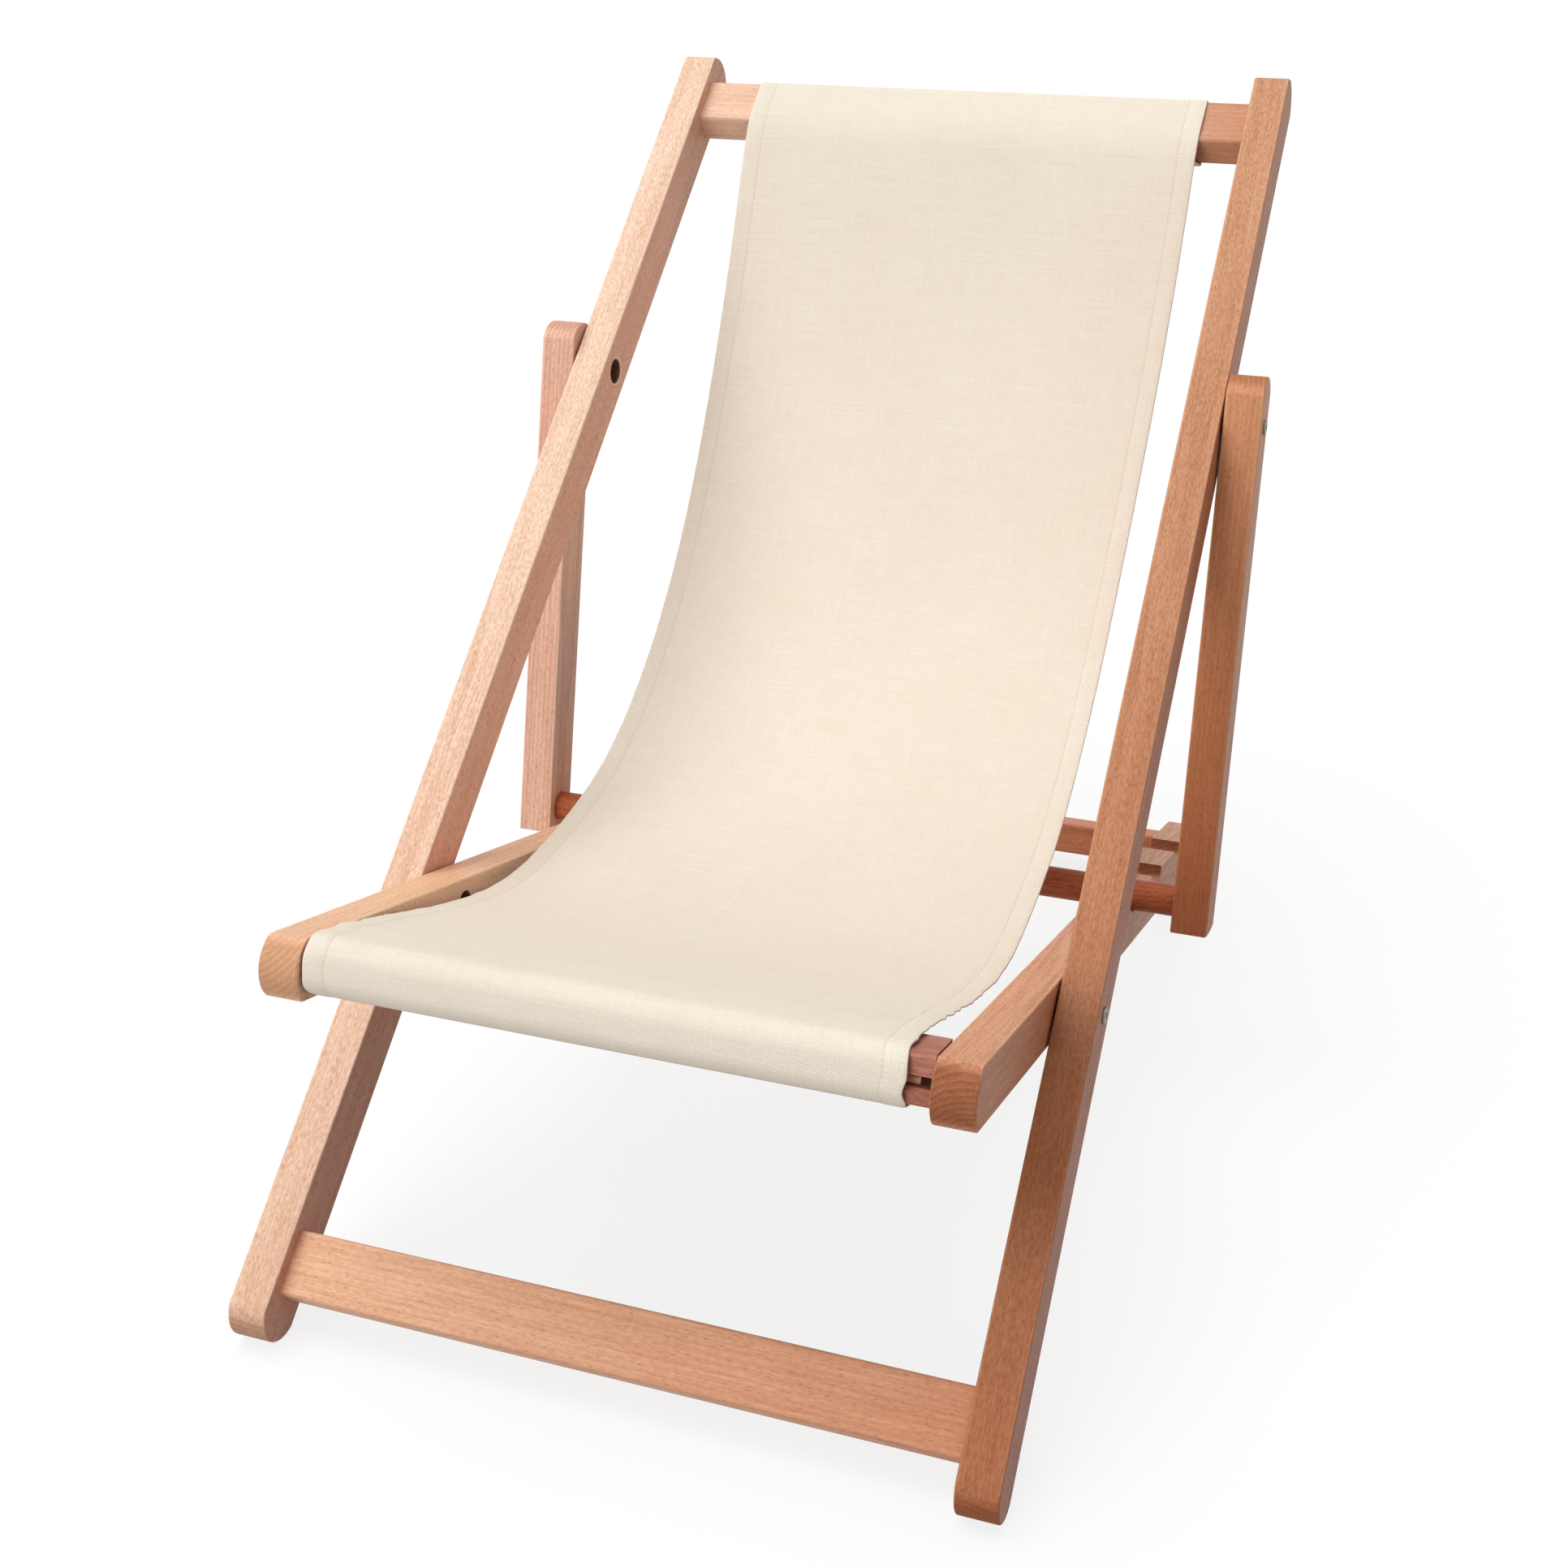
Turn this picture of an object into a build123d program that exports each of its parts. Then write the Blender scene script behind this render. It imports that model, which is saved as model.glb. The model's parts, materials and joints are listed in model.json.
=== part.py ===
from build123d import *
from math import cos, sin, tan, radians
import os

os.makedirs("parts", exist_ok=True)

# Timber sections
rail_thickness = 31.0
back_rail_depth = 48.0
seat_rail_depth = 45.0
prop_rail_depth = 45.0
edge_round = 1.6
bar_round = 3.0

# Widths across the chair, from the centre plane
back_half_width = 291.0
frame_gap = 2.0

# Side view: slopes in degrees from the floor, reaches along a rail from the seat pivot
back_angle = 38.2
seat_angle = 17.2
back_foot_reach = 359.5
back_foot_crown = 17.0
back_top_reach = 902.0
back_top_crown = 12.0
seat_front_reach = 257.0
seat_end_crown = 12.0
prop_pivot_reach = 528.5

# Crossbars of the back frame
top_bar_height = 47.0
top_bar_depth = 31.0
top_bar_drop = 32.0
top_bar_setback = 10.5
stretcher_height = 49.0
stretcher_depth = 21.0
stretcher_lift = 32.5
stretcher_setback = 11.0

# Seat frame: the slotted front bar, the rear bar and the three notches
upper_slat_thickness = 15.3
lower_slat_thickness = 12.0
slat_depth = 42.0
slat_gap = 8.4
slat_rise = 1.0
slat_setback = 9.0
slat_nose_round = 5.0
rear_bar_height = 30.0
rear_bar_depth = 42.0
rear_bar_setback = 29.0
first_notch_reach = 340.0
notch_pitch = 132.0
notch_count = 3
notch_depth = 14.0
notch_length = 55.0
notch_flat = 6.0

# Prop frame
dowel_diameter = 27.0
dowel_play = 0.4
dowel_socket_depth = 22.0
prop_head_reach = 41.5
prop_head_crown = 15.0
prop_tail_reach = 24.0
prop_tail_crown = 2.0
brad_diameter = 2.4
brad_length = 34.0
brad_sink = 0.5

# Stub tenons
tenon_length = 12.0
tenon_shoulder = 6.0
slat_tenon_shoulder = 10.0
slat_tenon_thickness = 6.0
tenon_play = 0.1

# Pivot hardware
bolt_diameter = 8.0
bolt_tip_length = 2.0
head_diameter = 13.0
head_height = 1.8
head_round = 1.2
socket_across_flats = 5.0
socket_depth = 3.0
nut_across_flats = 13.0
nut_height = 6.5
nut_recess_diameter = 21.0
nut_recess_depth = 14.0
nut_recess_chamfer = 1.5
washer_diameter = 20.0
washer_thickness = 1.6
running_play = 0.05
loose_play = 0.2

# Canvas sling
sling_side_gap = 12.5
sling_thickness = 1.2
sling_clearance = 0.4
tunnel_length = 21.0
hem_rod_diameter = 6.0
hem_rod_overrun = 2.5
hem_rod_inset = 33.0
# Corners of the tangents that the sag touches, along the back rail from the seat pivot and square to it
sag_corners = ((644, -75), (411, -147), (224, -147), (102, -86), (13, -11))
sag_curve_share = 0.45

# Cutters pass a face by this much
overcut = 1.0

# Places that follow from the sizes above
back_inner = back_half_width - rail_thickness
seat_outer = back_inner - frame_gap
seat_inner = seat_outer - rail_thickness
sling_width = 2 * (seat_inner - sling_side_gap)
prop_inner = back_half_width + frame_gap
prop_outer = prop_inner + rail_thickness
back_radius = back_rail_depth / 2
seat_radius = seat_rail_depth / 2
dowel_radius = dowel_diameter / 2
bolt_radius = bolt_diameter / 2
back_cos = cos(radians(back_angle))
back_sin = sin(radians(back_angle))
seat_cos = cos(radians(seat_angle))
seat_sin = sin(radians(seat_angle))

# The back rails stand on their rounded feet and the seat rails on the lower corner of their rear ends
foot_arc_radius = (back_radius ** 2 + back_foot_crown ** 2) / (2 * back_foot_crown)
foot_arc_centre = foot_arc_radius - back_foot_reach
pivot_z = foot_arc_radius - foot_arc_centre * back_sin
seat_rear_corner = (pivot_z - seat_radius * seat_cos) / seat_sin
seat_rear_reach = seat_rear_corner + seat_end_crown
front_y = foot_arc_centre * back_cos - foot_arc_radius
top_arc_radius = (back_radius ** 2 + back_top_crown ** 2) / (2 * back_top_crown)
rear_y = (back_top_reach - top_arc_radius) * back_cos + top_arc_radius
pivot_y = -(front_y + rear_y) / 2

# The dowel lies in the first notch with a little play, and sets the prop's length
notch_floor = seat_radius - notch_depth
dowel_reach = first_notch_reach - dowel_radius - dowel_play
dowel_rise = notch_floor + dowel_radius + dowel_play


def side_plane(y, z, along_y, along_z):
    # Side view whose local x runs along a rail and whose local z runs across the chair
    return Plane(origin=(0, y, z), x_dir=(0, along_y, along_z), z_dir=(1, 0, 0))


back_plane = side_plane(pivot_y, pivot_z, back_cos, back_sin)
seat_plane = side_plane(pivot_y, pivot_z, seat_cos, -seat_sin)
prop_pivot = back_plane.from_local_coords((prop_pivot_reach, 0, 0))
prop_run = seat_plane.from_local_coords((dowel_reach, dowel_rise, 0)) - prop_pivot
prop_length = prop_run.length
prop_plane = side_plane(prop_pivot.Y, prop_pivot.Z, prop_run.Y, prop_run.Z)


def slab(plane, face, x_low, x_high):
    # A side-view outline given a thickness across the chair
    return extrude(plane.offset(x_low) * face, amount=x_high - x_low)


def cylinder(plane, u, v, diameter, x_low, x_high):
    return slab(plane, Pos(u, v) * Circle(diameter / 2), x_low, x_high)


def block(plane, u, v, x_low, x_high):
    # u and v are the low and high limits of the section
    face = Pos(sum(u) / 2, sum(v) / 2) * Rectangle(u[1] - u[0], v[1] - v[0])
    return slab(plane, face, x_low, x_high)


def grown(span, amount):
    return (span[0] - amount, span[1] + amount)


def crowned(u_low, u_high, depth, crown_low, crown_high):
    # Outline of a rail whose two ends bulge by their crowns
    half = depth / 2
    with BuildSketch() as outline:
        with BuildLine():
            Line((u_high - crown_high, half), (u_low + crown_low, half))
            ThreePointArc((u_low + crown_low, half), (u_low, 0), (u_low + crown_low, -half))
            Line((u_low + crown_low, -half), (u_high - crown_high, -half))
            ThreePointArc((u_high - crown_high, -half), (u_high, 0), (u_high - crown_high, half))
        make_face()
    return outline.sketch


def softened_slab(plane, face, x_low, x_high):
    # A rail with the edges of its two side faces rounded
    rail = slab(plane, face, x_low, x_high)
    edges = [edge for edge in rail.edges() if edge.bounding_box().size.X < edge_round]
    return fillet(edges, edge_round)


def nut_recess(plane, u, x_face):
    # Round sinking in the inner face of a rail, with a broken rim
    bore = cylinder(plane, u, 0, nut_recess_diameter, x_face - overcut, x_face + nut_recess_depth)
    rim = plane.offset(x_face) * Pos(u, 0)
    wide = nut_recess_diameter / 2 + nut_recess_chamfer
    mouth = loft([rim * Circle(wide), rim * Pos(0, 0, nut_recess_chamfer) * Circle(nut_recess_diameter / 2)])
    return bore + mouth


def section(u, v, radius):
    # Rectangle with rounded corners; u and v are its low and high limits
    rectangle = Pos(sum(u) / 2, sum(v) / 2) * Rectangle(u[1] - u[0], v[1] - v[0])
    return fillet(rectangle.vertices(), radius)


def tenoned_bar(plane, face, tenon, half_length):
    # A crossbar between the inner faces of two rails, with a stub tenon at each end
    reach = half_length + tenon_length - tenon_play
    return slab(plane, face, -half_length, half_length) + block(plane, *tenon, -reach, reach)


def mortise(plane, tenon, x_face):
    u, v = (grown(span, tenon_play) for span in tenon)
    return block(plane, u, v, x_face - overcut, x_face + tenon_length)


# Sections of the crossbars in the side view
top_bar_u = (back_top_reach - top_bar_drop - top_bar_height, back_top_reach - top_bar_drop)
top_bar_v = (back_radius - top_bar_setback - top_bar_depth, back_radius - top_bar_setback)
stretcher_u = (stretcher_lift - back_foot_reach, stretcher_lift - back_foot_reach + stretcher_height)
stretcher_v = (back_radius - stretcher_setback - stretcher_depth, back_radius - stretcher_setback)
rear_bar_u = (seat_rear_reach - rear_bar_setback - rear_bar_depth, seat_rear_reach - rear_bar_setback)
rear_bar_v = (-rear_bar_height / 2, rear_bar_height / 2)
slat_u = (slat_setback - seat_front_reach, slat_setback - seat_front_reach + slat_depth)
upper_slat_v = (seat_radius + slat_rise - upper_slat_thickness, seat_radius + slat_rise)
lower_slat_v = (upper_slat_v[0] - slat_gap - lower_slat_thickness, upper_slat_v[0] - slat_gap)
slat_tenon_u = grown(slat_u, -slat_tenon_shoulder)


def slat_tenon(slat_v):
    return (slat_tenon_u, (slat_v[0], slat_v[0] + slat_tenon_thickness))


def shouldered(u, v):
    return (grown(u, -tenon_shoulder), grown(v, -tenon_shoulder))


# Back frame
back_outline = crowned(-back_foot_reach, back_top_reach, back_rail_depth, back_foot_crown, back_top_crown)
back_rail = softened_slab(back_plane, back_outline, back_inner, back_half_width)
loose_bore = bolt_diameter + 2 * loose_play
running_bore = bolt_diameter + 2 * running_play
for reach in (0, prop_pivot_reach):
    back_rail -= cylinder(back_plane, reach, 0, loose_bore, back_inner - overcut, back_half_width + overcut)
back_rail -= nut_recess(back_plane, prop_pivot_reach, back_inner)

top_tenon = shouldered(top_bar_u, top_bar_v)
stretcher_tenon = shouldered(stretcher_u, stretcher_v)
for tenon in (top_tenon, stretcher_tenon):
    back_rail -= mortise(back_plane, tenon, back_inner)
top_bar = tenoned_bar(back_plane, section(top_bar_u, top_bar_v, bar_round), top_tenon, back_inner)
stretcher_section = section(stretcher_u, stretcher_v, bar_round)
bottom_stretcher = tenoned_bar(back_plane, stretcher_section, stretcher_tenon, back_inner)

# Seat frame
seat_outline = crowned(-seat_front_reach, seat_rear_reach, seat_rail_depth, seat_end_crown, seat_end_crown)


def notch(wall):
    # A ramp down from the front, a short flat and a round corner that fits the dowel
    centre = wall - dowel_radius - dowel_play
    above = seat_radius + overcut
    slope = (notch_length - notch_flat - wall + centre) / notch_depth
    ramp_top = (centre - notch_flat - slope * (above - notch_floor), above)
    ramp_foot = (centre - notch_flat, notch_floor)
    ramp = Polygon(ramp_top, ramp_foot, (centre, notch_floor), (centre, above), align=None)
    corner = Pos(centre, dowel_rise) * Circle(dowel_radius + dowel_play)
    return ramp + corner


for number in range(notch_count):
    seat_outline -= notch(first_notch_reach + number * notch_pitch)

seat_rail = softened_slab(seat_plane, seat_outline, seat_inner, seat_outer)
seat_rail -= cylinder(seat_plane, 0, 0, running_bore, seat_inner - overcut, seat_outer + overcut)
seat_rail -= nut_recess(seat_plane, 0, seat_inner)

rear_tenon = shouldered(rear_bar_u, rear_bar_v)
upper_tenon = slat_tenon(upper_slat_v)
lower_tenon = slat_tenon(lower_slat_v)
for tenon in (rear_tenon, upper_tenon, lower_tenon):
    seat_rail -= mortise(seat_plane, tenon, seat_inner)
rear_bar = tenoned_bar(seat_plane, section(rear_bar_u, rear_bar_v, bar_round), rear_tenon, seat_inner)

# The upper slat is rounded where the cloth turns over it
upper_section = Pos(sum(slat_u) / 2, sum(upper_slat_v) / 2) * Rectangle(slat_depth, upper_slat_thickness)
nose = upper_section.vertices().group_by(Axis.X)[0].sort_by(Axis.Y)[-1]
upper_section = fillet(nose, slat_nose_round)
front_slat_upper = tenoned_bar(seat_plane, upper_section, upper_tenon, seat_inner)
lower_section = section(slat_u, lower_slat_v, bar_round)
front_slat_lower = tenoned_bar(seat_plane, lower_section, lower_tenon, seat_inner)

# Loose rod on the floor of the front bar's slot, which holds the hem of the cloth
hem_rod_u = slat_u[1] - hem_rod_inset
hem_rod_v = lower_slat_v[1] + loose_play + hem_rod_diameter / 2
hem_rod_half = sling_width / 2 + hem_rod_overrun
front_hem_rod = cylinder(seat_plane, hem_rod_u, hem_rod_v, hem_rod_diameter, -hem_rod_half, hem_rod_half)

# Prop frame
prop_end = prop_length + prop_tail_reach
prop_outline = crowned(-prop_head_reach, prop_end, prop_rail_depth, prop_head_crown, prop_tail_crown)
socket_end = prop_inner + dowel_socket_depth
socket = dowel_diameter + 2 * tenon_play
prop_rail = softened_slab(prop_plane, prop_outline, prop_inner, prop_outer)
prop_rail -= cylinder(prop_plane, 0, 0, running_bore, prop_inner - overcut, prop_outer + overcut)
prop_rail -= cylinder(prop_plane, prop_length, 0, socket, prop_inner - overcut, socket_end)
dowel_half = socket_end - tenon_play
prop_dowel = cylinder(prop_plane, prop_length, 0, dowel_diameter, -dowel_half, dowel_half)

# A brad through the front face of each prop rail pins the dowel
brad_x = prop_inner + dowel_socket_depth / 2
brad_start = prop_plane.from_local_coords((prop_length, -prop_rail_depth / 2, brad_x))
brad_plane = Plane(brad_start, z_dir=prop_plane.y_dir)
brad_hole = extrude(brad_plane.offset(-overcut) * Circle(brad_diameter / 2 + running_play),
                    amount=brad_length + overcut + loose_play)
dowel_brad = extrude(brad_plane.offset(brad_sink) * Circle(brad_diameter / 2), amount=brad_length - brad_sink)
prop_rail -= brad_hole
prop_dowel -= brad_hole
prop_dowel -= mirror(brad_hole, Plane.YZ)


def pivot_bolt(reach, x_head, x_tip):
    # Domed head on the outside, shank towards the centre plane
    shank = cylinder(back_plane, reach, 0, bolt_diameter, x_tip, x_head)
    head = cylinder(back_plane, reach, 0, head_diameter, x_head, x_head + head_height)
    rim = head.edges().filter_by(GeomType.CIRCLE).sort_by(Axis.X)[-1]
    key_hole = Pos(reach, 0) * RegularPolygon(socket_across_flats / 2, 6, major_radius=False)
    x_top = x_head + head_height
    return shank + fillet(rim, head_round) - slab(back_plane, key_hole, x_top - socket_depth, x_top + overcut)


def pivot_nut(reach, x_seat):
    outline = RegularPolygon(nut_across_flats / 2, 6, major_radius=False) - Circle(running_bore / 2)
    return slab(back_plane, Pos(reach, 0) * outline, x_seat - nut_height, x_seat)


def pivot_washer(reach, x_face):
    ring = Circle(washer_diameter / 2) - Circle(loose_bore / 2)
    x_low = x_face + (frame_gap - washer_thickness) / 2
    return slab(back_plane, Pos(reach, 0) * ring, x_low, x_low + washer_thickness)


# Each pivot: a bolt from the outer rail, a washer in the gap and a nut sunk in the inner rail
seat_nut_x = seat_inner + nut_recess_depth - loose_play
prop_nut_x = back_inner + nut_recess_depth - loose_play
tip_reach = nut_height + bolt_tip_length
seat_pivot_bolt = pivot_bolt(0, back_half_width + loose_play, seat_nut_x - tip_reach)
seat_pivot_nut = pivot_nut(0, seat_nut_x)
seat_pivot_washer = pivot_washer(0, seat_outer)
prop_pivot_bolt = pivot_bolt(prop_pivot_reach, prop_outer + loose_play, prop_nut_x - tip_reach)
prop_pivot_nut = pivot_nut(prop_pivot_reach, prop_nut_x)
prop_pivot_washer = pivot_washer(prop_pivot_reach, back_half_width)


def to_back(r, h):
    # A place in the seat's side view, seen in the back's
    return back_plane.to_local_coords(seat_plane.from_local_coords((r, h, 0)))


def square_to(run):
    return Vector(-run.Y, run.X).normalized()


def offset_corners(corners, distance):
    # The same runs, each moved sideways by the distance
    moved = []
    for index, corner in enumerate(corners):
        runs = [b - a for a, b in zip(corners, corners[1:])][max(index - 1, 0):index + 1]
        normal = sum((square_to(run) for run in runs), Vector(0, 0)) / len(runs)
        moved.append(corner + normal * (distance / normal.length ** 2))
    return moved


def trace(corners, radii, distance):
    # Straight runs joined by tangent arcs that share their centres with the undisplaced path
    moved = offset_corners(corners, distance)
    at = moved[0]
    for before, corner, after, radius in zip(moved, moved[1:], moved[2:], radii):
        back_way = (before - corner).normalized()
        on_way = (after - corner).normalized()
        turn = back_way.cross(on_way).Z
        bend = radius + distance if turn > 0 else radius - distance
        half = radians(back_way.get_angle(on_way)) / 2
        start = corner + back_way * (bend / tan(half))
        end = corner + on_way * (bend / tan(half))
        middle = corner + (back_way + on_way).normalized() * (bend / sin(half) - bend)
        Line(at, start)
        ThreePointArc(start, middle, end)
        at = end
    Line(at, moved[-1])
    return moved


def sag_radius(before, corner, after):
    # As large as the two runs beside a corner allow
    half = radians((before - corner).get_angle(after - corner)) / 2
    return sag_curve_share * min((before - corner).length, (after - corner).length) * tan(half)


# Canvas: a tunnel round the top bar, the sag, a turn round the front bar and a hem in its slot
round_top_u = grown(top_bar_u, sling_clearance)
round_top_v = grown(top_bar_v, sling_clearance)
round_front_u = grown(slat_u, sling_clearance)
round_front_v = grown((lower_slat_v[0], upper_slat_v[1]), sling_clearance)
slot_v = lower_slat_v[1] + sling_clearance
top_corners = [Vector(round_top_u[i], round_top_v[j]) for i, j in ((0, 0), (1, 0), (1, 1), (0, 1))]
sag = [Vector(*corner) for corner in sag_corners]
front_corners = [to_back(round_front_u[i], round_front_v[j]) for i, j in ((1, 1), (0, 1), (0, 0), (1, 0))]
slot_corner = to_back(round_front_u[1], slot_v)
hem = to_back(hem_rod_u + hem_rod_diameter / 2 + sling_clearance, slot_v)

front_layer = (sag[0] - top_corners[-1]).normalized()
seam = top_corners[-1] + front_layer * tunnel_length + square_to(front_layer) * (2 * sling_clearance)
sling_corners = [seam, *top_corners, *sag, *front_corners, slot_corner, hem]
sag_ends = [top_corners[-1], *sag, front_corners[0]]
sag_radii = [sag_radius(*three) for three in zip(sag_ends, sag_ends[1:], sag_ends[2:])]
turn_radius = bar_round + sling_clearance
nose_radius = slat_nose_round + sling_clearance
front_radii = [turn_radius, nose_radius, turn_radius, turn_radius, turn_radius]
sling_radii = [turn_radius] * len(top_corners) + sag_radii + front_radii

with BuildSketch() as sling_outline:
    with BuildLine():
        under = trace(sling_corners, sling_radii, 0)
        upper = trace(sling_corners, sling_radii, -sling_thickness)
        Line(under[0], upper[0])
        Line(under[-1], upper[-1])
    make_face()
sling = slab(back_plane, sling_outline.sketch, -sling_width / 2, sling_width / 2)

nodes = {"top_bar": top_bar, "bottom_stretcher": bottom_stretcher, "rear_bar": rear_bar,
         "front_slat_upper": front_slat_upper, "front_slat_lower": front_slat_lower,
         "front_hem_rod": front_hem_rod, "prop_dowel": prop_dowel, "sling": sling}
pairs = {"back_rail": back_rail, "seat_rail": seat_rail, "prop_rail": prop_rail, "dowel_brad": dowel_brad,
         "seat_pivot_bolt": seat_pivot_bolt, "seat_pivot_nut": seat_pivot_nut,
         "seat_pivot_washer": seat_pivot_washer, "prop_pivot_bolt": prop_pivot_bolt,
         "prop_pivot_nut": prop_pivot_nut, "prop_pivot_washer": prop_pivot_washer}
for name, solid in pairs.items():
    nodes[name + "_right"] = solid
    nodes[name + "_left"] = mirror(solid, Plane.YZ)

for name, solid in nodes.items():
    export_step(solid, "parts/" + name + ".step")

print("seat pivot y, z:", round(pivot_y, 3), round(pivot_z, 3))
print("prop pivot y, z:", round(prop_pivot.Y, 3), round(prop_pivot.Z, 3))
print("prop length:", round(prop_length, 3))
sling_area = sling.volume / sling_width / sling_thickness
print("cloth length:", round(sling_area, 1))
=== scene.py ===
import bpy
import json
from math import cos, pi, radians, sin, tan
from mathutils import Euler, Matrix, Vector, noise


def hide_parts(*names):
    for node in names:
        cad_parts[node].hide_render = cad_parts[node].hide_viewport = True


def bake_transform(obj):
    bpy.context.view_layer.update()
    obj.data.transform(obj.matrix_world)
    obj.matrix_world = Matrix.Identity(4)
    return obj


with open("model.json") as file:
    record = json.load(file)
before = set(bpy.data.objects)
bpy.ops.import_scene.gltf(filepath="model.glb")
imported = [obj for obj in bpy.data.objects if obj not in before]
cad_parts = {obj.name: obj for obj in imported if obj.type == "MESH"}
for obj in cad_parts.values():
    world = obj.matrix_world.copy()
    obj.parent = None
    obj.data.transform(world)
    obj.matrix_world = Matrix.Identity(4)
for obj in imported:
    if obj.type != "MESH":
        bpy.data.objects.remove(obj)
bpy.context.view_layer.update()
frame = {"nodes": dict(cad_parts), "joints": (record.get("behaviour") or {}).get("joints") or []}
nodes = frame["nodes"]
joints = {joint["name"]: joint for joint in frame["joints"]}
scene = bpy.context.scene
scene.view_settings.view_transform = "Standard"
print("frame loaded:", len(nodes), "nodes")


# Camera, found from the straight edges of the rails
cameraSetup = {
    "place": (0.527027, -1.574176, 1.097317),
    "turn": (66.701, 0.741, 19.678),  # degrees
    "lens": 50.119,
    "shift": (0.012245, -0.074607),
}


def placeCamera(setup):
    lens = bpy.data.cameras.new("studioCamera")
    lens.sensor_width = 36
    lens.lens = setup["lens"]
    lens.shift_x, lens.shift_y = setup["shift"]
    lens.clip_end = 100
    camera = bpy.data.objects.new("studioCamera", lens)
    camera.location = setup["place"]
    camera.rotation_euler = [radians(angle) for angle in setup["turn"]]
    scene.collection.objects.link(camera)
    scene.camera = camera


placeCamera(cameraSetup)
print("camera placed")


def tone(red, green, blue):
    # Screen colour 0 to 255 to the linear value that a socket takes
    def linear(part):
        part /= 255
        return part / 12.92 if part <= 0.04045 else ((part + 0.055) / 1.055) ** 2.4
    return (linear(red), linear(green), linear(blue), 1)


def feed(tree, value, socket):
    if isinstance(value, bpy.types.NodeSocket):
        tree.links.new(value, socket)
    else:
        socket.default_value = value


def calc(tree, operation, *values, clamp=False):
    node = tree.nodes.new("ShaderNodeMath")
    node.operation = operation
    node.use_clamp = clamp
    for value, socket in zip(values, node.inputs):
        feed(tree, value, socket)
    return node.outputs[0]


def calcVector(tree, operation, *vectors):
    node = tree.nodes.new("ShaderNodeVectorMath")
    node.operation = operation
    for vector, socket in zip(vectors, node.inputs):
        feed(tree, vector, socket)
    return node.outputs["Value" if operation == "LENGTH" else "Vector"]


def stretch(tree, vector, factors):
    return calcVector(tree, "MULTIPLY", vector, factors)


def splitVector(tree, vector):
    node = tree.nodes.new("ShaderNodeSeparateXYZ")
    tree.links.new(vector, node.inputs[0])
    return node.outputs


def fade(tree, value, low, high, start=0.0, end=1.0):
    # Smooth step from start to end as the value goes from low to high
    node = tree.nodes.new("ShaderNodeMapRange")
    node.interpolation_type = "SMOOTHSTEP"
    parts = {"Value": value, "From Min": low, "From Max": high, "To Min": start, "To Max": end}
    for name, part in parts.items():
        feed(tree, part, node.inputs[name])
    return node.outputs["Result"]


def blendColor(tree, mode, factor, first, second):
    node = tree.nodes.new("ShaderNodeMix")
    node.data_type = "RGBA"
    node.blend_type = mode
    feed(tree, factor, node.inputs[0])
    feed(tree, first, node.inputs[6])
    feed(tree, second, node.inputs[7])
    return node.outputs[2]


def cloudy(tree, vector, scale, detail, rough):
    node = tree.nodes.new("ShaderNodeTexNoise")
    feed(tree, vector, node.inputs["Vector"])
    node.inputs["Scale"].default_value = scale
    node.inputs["Detail"].default_value = detail
    node.inputs["Roughness"].default_value = rough
    return node.outputs["Fac"]


def newGroup(name, inputs, outputs):
    group = bpy.data.node_groups.new(name, "ShaderNodeTree")
    for label, kind, value in inputs:
        socket = group.interface.new_socket(name=label, in_out="INPUT", socket_type=kind)
        if value is not None:
            socket.default_value = value
    for label, kind in outputs:
        group.interface.new_socket(name=label, in_out="OUTPUT", socket_type=kind)
    entry = group.nodes.new("NodeGroupInput").outputs
    leave = group.nodes.new("NodeGroupOutput").inputs
    return group, entry, leave


# Beech: growth rings round a pith beside the piece, long streaks, fibres, ray flecks and pores, with darker
# ends, rubbed edges lightened partly as a painted highlight, painted shade along the grain, on the side faces
# and below the seat, and the mouth of a nut's recess with painted shade in it and a painted highlight on its
# rim.
# The grain runs along Y of the place that is fed in.
beechSetup = {
    "rings": {"scale": 74.0, "alongGrain": 0.06, "distortion": 2.6, "detail": 2.0, "detailScale": 1.1,
              "sharpness": 2.0, "onEnds": 0.55},
    "wander": {"stretch": (9.0, 1.2, 9.0), "reach": (0.016, 0.0, 0.016)},  # rings stray by a few millimetres
    "streaks": {"stretch": (1.0, 0.035, 1.0), "scale": 520.0, "share": 0.34},
    "bands": {"stretch": (1.0, 0.05, 1.0), "scale": 95.0, "share": 0.30},
    "fibres": {"stretch": (1.0, 0.02, 1.0), "scale": 1500.0, "share": 0.22},
    "spread": (0.3, 0.7),  # of the noise, drawn out to 0 and 1
    "mottle": {"stretch": (1.0, 0.3, 1.0), "scale": 620.0},  # flecks of the rays, longer along the grain
    "pores": {"cells": (560.0, 150.0, 560.0),  # per metre
              "size": (0.14, 0.36), "picked": (0.2, 0.8), "share": 0.38, "lessOnEnds": 0.3,
              "tint": (176, 136, 114)},
    "ends": {"turn": (0.55, 0.85), "scale": 1400.0, "share": (0.35, 0.5), "tint": (186, 154, 132)},
    "edges": (0.0004, 0.0023),  # rubbed, and a painted highlight, from the corner in
    # painted shade that falls off along the grain
    "driftTint": (210, 173, 152),
    "sideTurn": (0.6, 0.85),
    # painted shadow of the seat on the rail below it
    "seatShadow": {"reach": (0.03, 0.13), "tint": (179, 162, 137)},
    # painted shade in a nut's recess, and a painted highlight on its rim
    "recessShade": {"radius": 0.0114, "mouth": (-0.0004, 0.0003), "depth": 0.9, "tint": (110, 76, 52),
               "rimInner": (0.0, 0.0004), "rimOuter": (0.001, 0.0018), "rimHighlightShare": 0.55},
    "roughness": {"least": 0.38, "streaks": 0.12, "ends": 0.2},
    "relief": {"fibres": 0.4, "pores": 0.5},
    "specular": 0.15,
    "bump": (0.35, 0.0004),  # strength, height
}


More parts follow.
